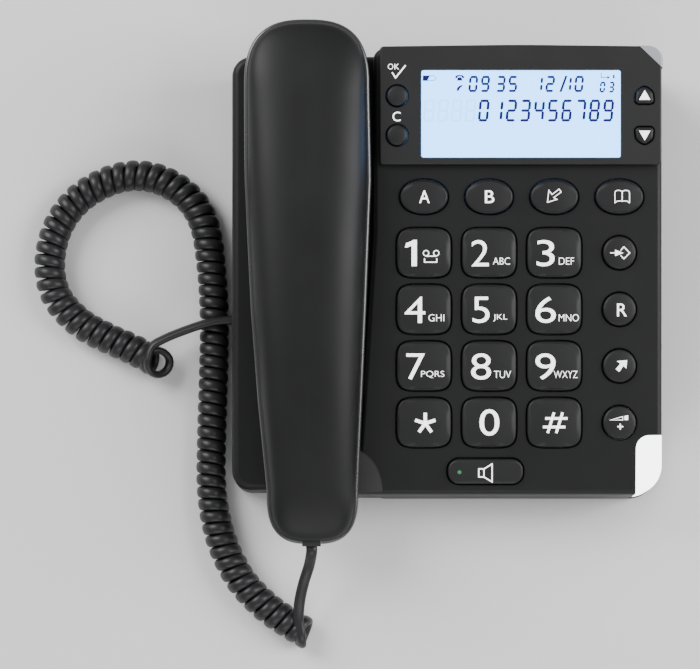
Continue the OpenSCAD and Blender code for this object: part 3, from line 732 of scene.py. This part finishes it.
def key_cap(name, outline, u, v, top, dome, side=1.0, low=-4.4, turn=0.0):
    """Soft-edged cap with a pillowed top. dome is the fall from the middle to the rim."""
    half = max(math.hypot(x, y) for x, y in outline)
    rings = []
    for n in (low, top - dome - side):
        rings.append([face(*p, n) for p in shifted(outline, u, v, turn)])
    for k in range(1, 6):
        w = math.pi / 2 * k / 5.5
        ring = inset(outline, side * (1 - math.cos(w)))
        rings.append([face(*p, top - dome - side + side * math.sin(w)) for p in shifted(ring, u, v, turn)])
    rim = inset(outline, side)
    for k in range(7):
        t = 1 - k / 7.0
        ring = [(x * t, y * t) for x, y in rim]
        rings.append(
            [
                face(*p, top - dome * min(1.0, (math.hypot(*q) / half) ** 2 * 1.25))
                for p, q in zip(shifted(ring, u, v, turn), ring)
            ]
        )
    return loft(name, rings, KEYS, math.radians(50), fan=True)


def cap_at(cu, cv, top, dome, half):
    """The level of a key's top, as a function of u and v."""
    return lambda u, v: top - dome * min(1.0, ((u - cu) ** 2 + (v - cv) ** 2) / half**2 * 1.25)


CAPS = {}


def key(name, outline, u, v, top=2.2, dome=0.75, side=0.9, turn=0.0):
    """A key's cap on its own body, and the level of its top for the legends."""
    half = max(math.hypot(x, y) for x, y in outline)
    ob = key_cap(name + "_cap", outline, u, v, top, dome, side, turn=turn)
    place(ob, name, "key_plastic", name)
    CAPS[name] = cap_at(u, v, top, dome, half)


DIGITS = ["1", "2", "3", "4", "5", "6", "7", "8", "9", "star", "0", "hash"]
for i, tag in enumerate(DIGITS):
    key("key_" + tag, DIGIT, KEY_U[i % 3], KEY_V[i // 3])
for tag, u in zip(("memory_a", "memory_b", "callers", "phone_book"), (*KEY_U, ROUND_U)):
    key("key_" + tag, OVAL, u, OVAL_V, dome=0.55)
for tag, v in zip(("store", "recall", "redial", "boost"), KEY_V):
    key("key_" + tag, ROUND, ROUND_U, v, dome=0.45)
key("key_ok", SMALL, SMALL_U, POD_V[0], 5.2, 0.35, 0.7)
key("key_clear", SMALL, SMALL_U, CLEAR_V, 5.2, 0.35, 0.7)
key("key_up", ARROW, ARROW_U, POD_V[0], 5.2, 0.3, 0.7)
key("key_down", ARROW, ARROW_U, POD_V[1], 5.2, 0.3, 0.7, turn=math.pi)
key("key_speaker", PILL, *PILL_AT, dome=0.3)

# ---------- printed legends ----------


def print_on(name, body, polygons, level, material=PRINT_WITH_PAINTED_GLOW, lift=0.02, grid=0.8):
    """Thin ink from polygons given in face coordinates, laid on a surface."""
    bm = bmesh.new()
    for poly in polygons:
        bm.faces.new([bm.verts.new((x, y, 0)) for x, y in poly])
    if grid:
        xs = [v.co.x for v in bm.verts]
        ys = [v.co.y for v in bm.verts]
        for axis, lo, hi in ((0, min(xs), max(xs)), (1, min(ys), max(ys))):
            normal = Vector((1 - axis, axis, 0))
            for k in range(1, int((hi - lo) / grid) + 1):
                parts = bm.verts[:] + bm.edges[:] + bm.faces[:]
                bmesh.ops.bisect_plane(bm, geom=parts, plane_co=normal * (lo + k * grid), plane_no=normal)
    for v in bm.verts:
        u, w = v.co.x, v.co.y
        v.co = face(u, w, level(u, w) + lift)
    for f in bm.faces:
        f.normal_update()
        if f.normal.dot(OUT) < 0:
            f.normal_flip()
    me = bpy.data.meshes.new(name)
    bm.to_mesh(me)
    bm.free()
    me.materials.append(material)
    slot = "key_plastic"
    if material in (LCD_ON, LCD_OFF):
        slot = "lcd_lit"
    elif body == "base":
        slot = "bezel_plastic"
    return place(linked(name, me), body, slot)


def letters(text, lo, hi, weight=0.0):
    """Polygons of a text in the plain built-in font, fitted to a box from lo to hi."""
    curve = bpy.data.curves.new("text", "FONT")
    curve.body = text
    curve.offset = weight
    curve.resolution_u = 5
    ob = linked("text", curve)
    bpy.context.view_layer.update()
    me = bpy.data.meshes.new_from_object(ob.evaluated_get(bpy.context.evaluated_depsgraph_get()))
    pts = [(v.co.x, v.co.y) for v in me.vertices]
    x0, y0 = min(p[0] for p in pts), min(p[1] for p in pts)
    x1, y1 = max(p[0] for p in pts), max(p[1] for p in pts)
    fx, fy = (hi[0] - lo[0]) / (x1 - x0), (hi[1] - lo[1]) / (y1 - y0)
    fitted = [(lo[0] + (x - x0) * fx, lo[1] + (y - y0) * fy) for x, y in pts]
    out = [[fitted[i] for i in p.vertices] for p in me.polygons]
    bpy.data.objects.remove(ob)
    bpy.data.meshes.remove(me)
    return out


def lines(paths, width):
    """Polygons of lines of one width with mitred corners; a path that ends where it starts is closed."""
    out = []
    for path in paths:
        loop = math.dist(path[0], path[-1]) < 1e-6
        pts = [Vector(p) for p in (path[:-1] if loop else path)]
        n = len(pts)
        left, right = [], []
        for i, p in enumerate(pts):
            a = (p - pts[i - 1]).normalized() if loop or i else None
            b = (pts[(i + 1) % n] - p).normalized() if loop or i < n - 1 else None
            a, b = a or b, b or a
            t = (a + b).normalized()
            side = Vector((-t.y, t.x)) * (width / 2 / max(0.35, t.dot(a)))
            left.append(p + side)
            right.append(p - side)
        for i in range(n if loop else n - 1):
            j = (i + 1) % n
            out.append([tuple(left[i]), tuple(left[j]), tuple(right[j]), tuple(right[i])])
    return out


def arc(cu, cv, r, a0, a1, steps):
    """Points along an arc, between two angles in degrees."""
    angles = [math.radians(a0 + (a1 - a0) * k / steps) for k in range(steps + 1)]
    return [(cu + r * math.cos(w), cv + r * math.sin(w)) for w in angles]


def moved(polygons, u, v):
    """The same polygons, moved by u and v."""
    return [[(x + u, y + v) for x, y in p] for p in polygons]


def legend(name, on, shapes, u, v):
    """Prints shapes on a key, with their origin at (u, v)."""
    print_on("legend_" + name, "key_" + on, moved(shapes, u, v), CAPS["key_" + on])


WORDS = ["", "ABC", "DEF", "GHI", "JKL", "MNO", "PQRS", "TUV", "WXYZ"]
WORD_BOX = [
    None, (1.5, 8.5), (1.8, 8.0), (1.85, 8.25), (1.6, 7.4), (1.75, 10.0),
    (-1.2, 8.3), (1.9, 8.9), (-0.3, 9.5),
]  # fmt: skip
DIGIT_BOX = [
    None, (-7.3, -0.2), (-7.3, 0.0), (-7.9, 0.5), (-6.8, 0.1), (-7.8, 0.55), (-7.25, 0.35), (-7.4, 0.7),
    (-7.8, 0.4),
]  # fmt: skip
ONE = [
    [(-5.1, -5.5), (-2.95, -5.5), (-2.95, 5.2), (-4.4, 5.2), (-5.1, 4.75)],
    [(-7.8, 2.15), (-7.2, 2.0), (-5.1, 2.9), (-5.1, 4.75), (-7.3, 3.9)],
]
REELS = [arc(0.8, -0.2, 1.1, -90, 270, 24), arc(5.0, -0.2, 1.1, -90, 270, 24)]
TAPE = [[(0.8, -1.45), (5.0, -1.45)], [(0.2, -2.3), (0.2, -3.9), (5.2, -3.9), (5.2, -2.3)]]
for i in range(9):
    u, v, tag = KEY_U[i % 3], KEY_V[i // 3], DIGITS[i]
    if tag == "1":
        shapes = ONE + lines(REELS, 0.36) + lines(TAPE, 0.42)
    else:
        shapes = letters(tag, (DIGIT_BOX[i][0], -5.55), (DIGIT_BOX[i][1], 5.15), -0.004)
        shapes += letters(WORDS[i], (WORD_BOX[i][0], -4.9), (WORD_BOX[i][1], -2.0), -0.011)
    legend(tag, tag, shapes, u, v)

rays = [math.radians(72 * k) for k in range(5)]
star = lines([[(0, 0), (4.35 * math.sin(w), 4.35 * math.cos(w))] for w in rays], 1.35)
legend("star", "star", star, KEY_U[0] + 0.5, KEY_V[3] - 0.3)
legend("0", "0", letters("0", (-4.0, -5.3), (4.1, 5.5)), KEY_U[1], KEY_V[3])
gate = [
    [(-1.6 - 1.3, -4.2), (-1.6 + 1.3, 4.2)],
    [(1.9 - 1.3, -4.2), (1.9 + 1.3, 4.2)],
    [(-3.9, 1.75), (5.2, 1.75)],
    [(-4.8, -1.75), (4.3, -1.75)],
]
legend("hash", "hash", lines(gate, 1.05), KEY_U[2] + 0.1, KEY_V[3])

legend("a", "memory_a", letters("A", (-2.0, -2.6), (2.3, 2.6), 0.004), KEY_U[0], OVAL_V)
legend("b", "memory_b", letters("B", (-1.75, -2.6), (2.05, 2.6), 0.004), KEY_U[1], OVAL_V)
arrow_in = [
    (-2.9, -2.3), (1.0, -1.1), (-0.3, -0.3), (2.75, 1.9), (1.9, 3.1), (-1.0, 0.9), (-2.3, 2.6), (-2.9, -2.3),
]  # fmt: skip
legend("callers", "callers", lines([arrow_in], 0.34), KEY_U[2], OVAL_V)
curl = [math.radians(a) for a in (150, 120, 90, 60, 30)]
page = [
    (0, -1.9),
    (0, 1.75),
    *[(1.5 + 1.5 * math.cos(w), 1.85 + 0.75 * math.sin(w)) for w in curl],
    (3.0, 1.5),
    (3.0, -2.5),
]
foot = [(0, -1.9), (0.8, -1.75), (2.0, -1.8), (3.1, -2.6)]
spine_mark = [(0, -1.9), (0, 1.9)]
book = lines([page, [(-x, y) for x, y in page], foot, [(-x, y) for x, y in foot], spine_mark], 0.34)
legend("book", "phone_book", book, ROUND_U + 1.0, OVAL_V)

lead, diamond = [(-3.9, -0.1), (-1.4, -0.1)], [(0.35, 0.95), (1.7, 2.4), (4.1, -0.1), (1.7, -2.5), (0.35, -1.1)]
store = lines([lead, diamond], 0.38)
store.append([(-1.9, 1.2), (-1.9, -1.4), (1.5, -0.1)])
legend("store", "store", store, ROUND_U, KEY_V[0])
legend("recall", "recall", letters("R", (-1.1, -2.9), (2.95, 2.4), 0.002), ROUND_U, KEY_V[1])
redial = [[(3.0, 2.4), (-1.3, 2.0), (0.25, 1.0), (-1.65, -1.3), (-0.2, -2.35), (1.5, 0.1), (2.7, -1.0)]]
legend("redial", "redial", redial, ROUND_U, KEY_V[2])
boost = lines([[(-4.1, 1.1), (1.0, 2.5), (1.0, 1.1), (-4.1, 1.1)]], 0.32)
boost.append([(1.7, 1.1), (3.2, 1.1), (3.2, 3.1), (1.7, 2.7)])
boost += lines([[(-1.2, -1.6), (1.2, -1.6)], [(0, -2.8), (0, -0.4)]], 0.5)
legend("boost", "boost", boost, ROUND_U + 0.2, KEY_V[3])
magnet = [(-3.1, -1.7), (-3.1, 1.6), (-1.0, 1.6), (-1.0, -1.7), (-3.1, -1.7)]
cone = [(-1.0, 1.6), (2.35, 3.6), (2.35, -3.7), (-1.0, -1.7)]
legend("speaker", "speaker", lines([magnet, cone], 0.5), 16.2, -78.1)


def on_pod(u, v):
    """The level of the pod's face."""
    return POD_N


tick = lines([[(-2.4, 0.7), (-1.0, -1.5), (3.1, 3.6)]], 0.55)
marks = letters("O", (-4.1, 1.9), (-1.95, 4.2), -0.008) + letters("K", (-1.45, 1.9), (0.5, 4.2), -0.008)
print_on("legend_ok", "base", moved(tick + marks, -20.0, 84.9), on_pod, grid=0)
print_on("legend_c", "base", letters("C", (-22.2, 65.6), (-18.9, 69.5)), on_pod, grid=0)
for name, v, s in (("up", POD_V[0], 1), ("down", POD_V[1], -1)):
    legend(name, name, [[(-2.3, -1.7 * s), (2.3, -1.7 * s), (0, 2.3 * s)]], ARROW_U, v)

# ---------- display ----------

GLASS = 2.04
sheet = face_slab("lcd_sheet", rect(-11.5, 49.8, 72.1, 87.6), 2.0, GLASS, 0.0, LCD, 1)
place(sheet, "base", "lcd_lit")
window = face_slab("window_plate", rect(-11.8, 49.6, 72.4, 87.8), 2.2, 3.2, 0.1, WINDOW, 2)
place(window, "base", "window_clear", "display_window")

LEAN = 0.09
SEGMENTS = {
    "0": "abcdef", "1": "bc", "2": "abged", "3": "abgcd", "4": "fgbc", "5": "afgcd", "6": "afgcde",
    "7": "abc", "8": "abcdefg", "9": "abcdfg", "/": "/",
}  # fmt: skip


def segments(text, u0, v0, w, h, pitch, t):
    """Slanted seven-segment figures from the lower left corner of the first one."""
    out = []
    g = t * 0.28
    for k, ch in enumerate(text):
        x = u0 + k * pitch
        for s in SEGMENTS[ch]:
            if s in "adg":
                y = {"a": h - t, "d": 0, "g": (h - t) / 2}[s]
                bevel = t * 0.55
                q = [(g + bevel, y), (w - g - bevel, y), (w - g, y + t / 2)]
                q += [(w - g - bevel, y + t), (g + bevel, y + t), (g, y + t / 2)]
            elif s == "/":
                q = [(w * 0.25, 0), (w * 0.25 + t, 0), (w * 0.75 + t, h), (w * 0.75, h)]
            else:
                x0 = 0 if s in "ef" else w - t
                y0, y1 = (h / 2 + g, h - t * 0.75) if s in "bf" else (t * 0.75, h / 2 - g)
                q = [(x0, y0 + t * 0.3), (x0 + t / 2, y0), (x0 + t, y0 + t * 0.3)]
                q += [(x0 + t, y1 - t * 0.3), (x0 + t / 2, y1), (x0, y1 - t * 0.3)]
            out.append([(x + px + LEAN * py, v0 + py) for px, py in q])
    return out


def on_glass(u, v):
    """The level of the display's sheet."""
    return GLASS


small = []
for text, u in (("09", 8.7), ("35", 20.0), ("12/", 35.3), ("10", 47.1)):
    small += segments(text, u, 77.7, 3.7, 6.7, 4.9, 1.0)
small += segments("03", 62.4, 77.5, 2.3, 4.5, 3.7, 0.78)
big = segments("0123456789", 12.6, 65.6, 4.3, 9.1, 5.66, 1.12)
resting = [p for text, u in (("888", -9.8), ("8", 7.1)) for p in segments(text, u, 65.6, 4.3, 9.1, 5.66, 0.86)]
battery = [(-9.7, 82.4), (-6.9, 82.4), (-5.2, 82.4), (-4.3, 83.4), (-5.2, 84.4), (-9.7, 84.4), (-9.7, 82.4)]
icons = lines([battery], 0.22)
icons.append([(-9.7, 82.4), (-7.9, 82.4), (-6.9, 84.4), (-9.7, 84.4)])
icons += [
    [
        (3.4, 84.0), (3.6, 83.3), (4.4, 83.5), (4.5, 84.1), (6.1, 84.1),
        (6.2, 83.5), (7.0, 83.3), (7.2, 84.0), (6.4, 84.7), (4.2, 84.7),
    ],
    [(4.2, 82.4), (6.4, 82.4), (6.2, 83.3), (5.8, 83.8), (4.8, 83.8), (4.4, 83.3)],
    [(4.0, 78.3), (4.9, 78.1), (5.2, 79.0), (5.8, 79.7), (6.5, 80.1), (6.3, 80.7), (5.0, 80.2), (4.2, 79.4)],
]  # fmt: skip
icons += lines([[(63.2, 85.6), (63.2, 83.7), (65.9, 83.7)]], 0.3)
icons += [[(65.7, 83.1), (66.9, 83.7), (65.7, 84.3)], [(68.0, 83.3), (68.7, 83.3), (68.7, 84.8), (68.0, 84.8)]]
for name, shapes, material, lift in (
    ("lcd_time", small, LCD_ON, 0.03),
    ("lcd_number", big, LCD_ON, 0.03),
    ("lcd_icons", icons, LCD_ON, 0.03),
    ("lcd_resting", resting, LCD_OFF, 0.015),
):
    print_on(name, "base", shapes, on_glass, material, lift, grid=0)

light = face_slab("speaker_light", squircle(0.85, 0.85, 2, 32, 5.2, -77.9), -4.0, 2.2, 0.3, GREEN, 3)
place(light, "key_speaker", "led_green", "key_light")

# ---------- handset ----------

TOP_V, LOW_V = 79.4, -85.4
SEAM = 8.0
BACK_N, BACK_R = 24.0, 620  # top of the back, and the radius of its curve from end to end
# v, half width and middle of the handset, from the mouth end to the ear end
WIDTHS = [
    (LOW_V, 18.5, -54.9), (-48, 21.2, -55.9), (-12, 23.35, -56.5), (42, 25.7, -56.75), (TOP_V, 25.4, -57.2),
]  # fmt: skip


def hand_width(v):
    """Half width and middle of the handset's outline at v."""
    v = max(LOW_V, min(TOP_V, v))
    for a, b in zip(WIDTHS, WIDTHS[1:]):
        if v <= b[0]:
            t = (v - a[0]) / (b[0] - a[0])
            break
    return a[1] + (b[1] - a[1]) * t, a[2] + (b[2] - a[2]) * t


def hand_outline(d=0.0):
    """Outline of the handset, drawn in by d: straight flanks and two rounded ends."""
    count = 44
    pts = []
    rx, cu = hand_width(TOP_V)
    for k in range(count + 1):
        w = math.pi * k / count
        c, s = math.cos(w), math.sin(w)
        r = reach(c, s, 2.7)
        pts.append((cu + rx * r * c, TOP_V + 27.4 * r * s))
    flank = [TOP_V + (LOW_V - TOP_V) * k / 30 for k in range(1, 30)]
    for v in flank:
        w, cu = hand_width(v)
        pts.append((cu - w, v))
    rx, cu = hand_width(LOW_V)
    for k in range(count + 1):
        w = math.pi + math.pi * k / count
        c, s = math.cos(w), math.sin(w)
        r = reach(c, s, 2.9)
        pts.append((cu + rx * r * c, LOW_V + 21.4 * r * s))
    for v in reversed(flank):
        w, cu = hand_width(v)
        pts.append((cu + w, v))
    return inset(pts, d) if d else pts


def crown(v):
    """Height of the middle of the handset's back."""
    return BACK_N - BACK_R + math.sqrt(BACK_R**2 - v * v)


def back_shell(name, d, low):
    """Back half: rings drawn in towards a spine, rising to a gently crowned top."""
    outline = hand_outline(d)
    spine = []
    for u, v in outline:
        sv = max(LOW_V + 8, min(TOP_V - 8, v))
        spine.append((hand_width(sv)[1], sv))
    rings = [[face(u, v, low) for u, v in outline]]
    levels = 20
    for k in range(levels):
        a = math.pi / 2 * k / levels
        ring = []
        for (u, v), (su, sv) in zip(outline, spine):
            q = math.cos(a) ** (2 / 3.1)
            pu, pv = su + (u - su) * q, sv + (v - sv) * q
            rise = math.sin(a) ** (2 / 2.5)
            ring.append(face(pu, pv, SEAM + 0.15 + (crown(pv) - d - SEAM) * rise))
        rings.append(ring)
    n = len(outline)
    points = [p for r in rings for p in r]
    faces = quads(len(rings), n)
    # close over the spine, whose points are shared where they coincide
    last = (len(rings) - 1) * n
    index, ids = {}, []
    for p in [face(su, sv, crown(sv) - d) for su, sv in spine]:
        tag = (round(p.x, 7), round(p.y, 7))
        if tag not in index:
            index[tag] = len(points)
            points.append(p)
        ids.append(index[tag])
    for k in range(n):
        j = (k + 1) % n
        if ids[k] == ids[j]:
            faces.append((last + k, last + j, ids[k]))
        else:
            faces.append((last + k, last + j, ids[j], ids[k]))
    faces.append(tuple(range(n - 1, -1, -1)))
    return mesh_piece(name, points, faces, HAND, math.radians(60))


back = back_shell("handset_back", 1.25, SEAM + 0.02)
place(back, "handset", "handset_plastic", "handset_back_shell")

# level and inset of each ring of the front half, from the seam down
FRONT = [
    (SEAM, 1.1), (SEAM + 0.02, 0.85), (SEAM - 0.08, 0.5), (SEAM - 0.3, 0.2), (SEAM - 0.65, -0.05),
    (SEAM - 1.1, -0.18), (SEAM - 1.8, -0.2), (SEAM - 3.4, 0.0), (2.0, 0.6), (-1.0, 1.7), (-3.0, 3.3),
    (-4.3, 5.4), (-5.0, 8.4),
]  # fmt: skip
front_rings = [[face(u, v, n) for u, v in hand_outline(d)] for n, d in reversed(FRONT)]
front = loft("handset_front", front_rings, HAND)
grip = round_corners([(-47, -60), (51, -60), (51, 5), (-47, 5)], [1, 1, 10, 10], 12)
boolean(front, loft("tool", [[face(u, v, n) for v, n in grip] for u in (-120.0, 0.0)], HAND))


def cup(cup_box, holes):
    """Ear or mouth cup with its holes, closed at both ends."""
    cu, cv = cup_box[:2]
    shape = rounded_box(*cup_box, 14)
    levels = [(-13.9, 3.0), (-13.55, 1.6), (-12.7, 0.7), (-11.6, 0.25), (-10, 0.0), (2.0, 0.0)]
    body = loft("cup", [[face(*p, n) for p in inset(shape, d)] for n, d in levels], HAND)
    for x, y in holes:
        boolean(body, cutter(circle(cu + x, cv + y, 1, 24), [(-16, 0), (-10.5, 0)]))
    return body


boolean(front, cup(EAR, [(0, 0), *circle(0, 0, 5.5, 6)]), "UNION")
boolean(front, cup(MOUTH, [(0, 0)]), "UNION")
socket = rect(-59.2, 1.0, -51.4, 8.2)
boolean(front, loft("tool", [[face(u, v, n) for u, n in socket] for v in (-96.0, -112.0)], HAND))
dress(front, HAND)
# faces of the front shell above RIM_N, along its lip, take the lighter copy: a painted highlight on the rim
front.data.materials.append(RIM_PAINTED_HIGHLIGHT)
finish_mesh(front, math.radians(40))
RIM_N = SEAM - 1.6
up = (face(0, 0, 1) - face(0, 0, 0)).normalized()
for p in front.data.polygons:
    if (p.center - face(0, 0, RIM_N)).dot(up) > 0:
        p.material_index = 1
place(front, "handset", "handset_plastic", "handset_front_shell")

# ---------- floor and light ----------

floor_mat = plastic("studio_floor", (0.80, 0.80, 0.80), 0.85, 0.002, 0.02, 0.008)
me = bpy.data.meshes.new("floor")
me.from_pydata([(-6, -6, 0), (6, -6, 0), (6, 6, 0), (-6, 6, 0)], [], [(0, 1, 2, 3)])
me.materials.append(floor_mat)
floor = linked("floor", me)


def lamp(name, where, size, power):
    """Soft rectangular light that points at the telephone."""
    aim = (0, 0, 0.02)
    data = bpy.data.lights.new(name, "AREA")
    data.shape = "RECTANGLE"
    data.size, data.size_y = size
    data.energy = power
    ob = linked(name, data)
    ob.location = where
    ob.rotation_euler = (Vector(aim) - Vector(where)).to_track_quat("-Z", "Y").to_euler()
    return ob


key_light_ob = lamp("key_light_left", (-1.15, 0.75, 1.2), (0.9, 1.2), 30)
fill = lamp("fill_right", (1.15, 0.1, 0.95), (0.65, 1.3), 22)
front_fill = lamp("fill_front", (0.0, -1.3, 0.9), (1.4, 0.6), 8)
world = bpy.data.worlds.new("studio")
world.use_nodes = True
world.node_tree.nodes["Background"].inputs["Color"].default_value = (1, 1, 1, 1)
world.node_tree.nodes["Background"].inputs["Strength"].default_value = 0.35
bpy.context.scene.world = world
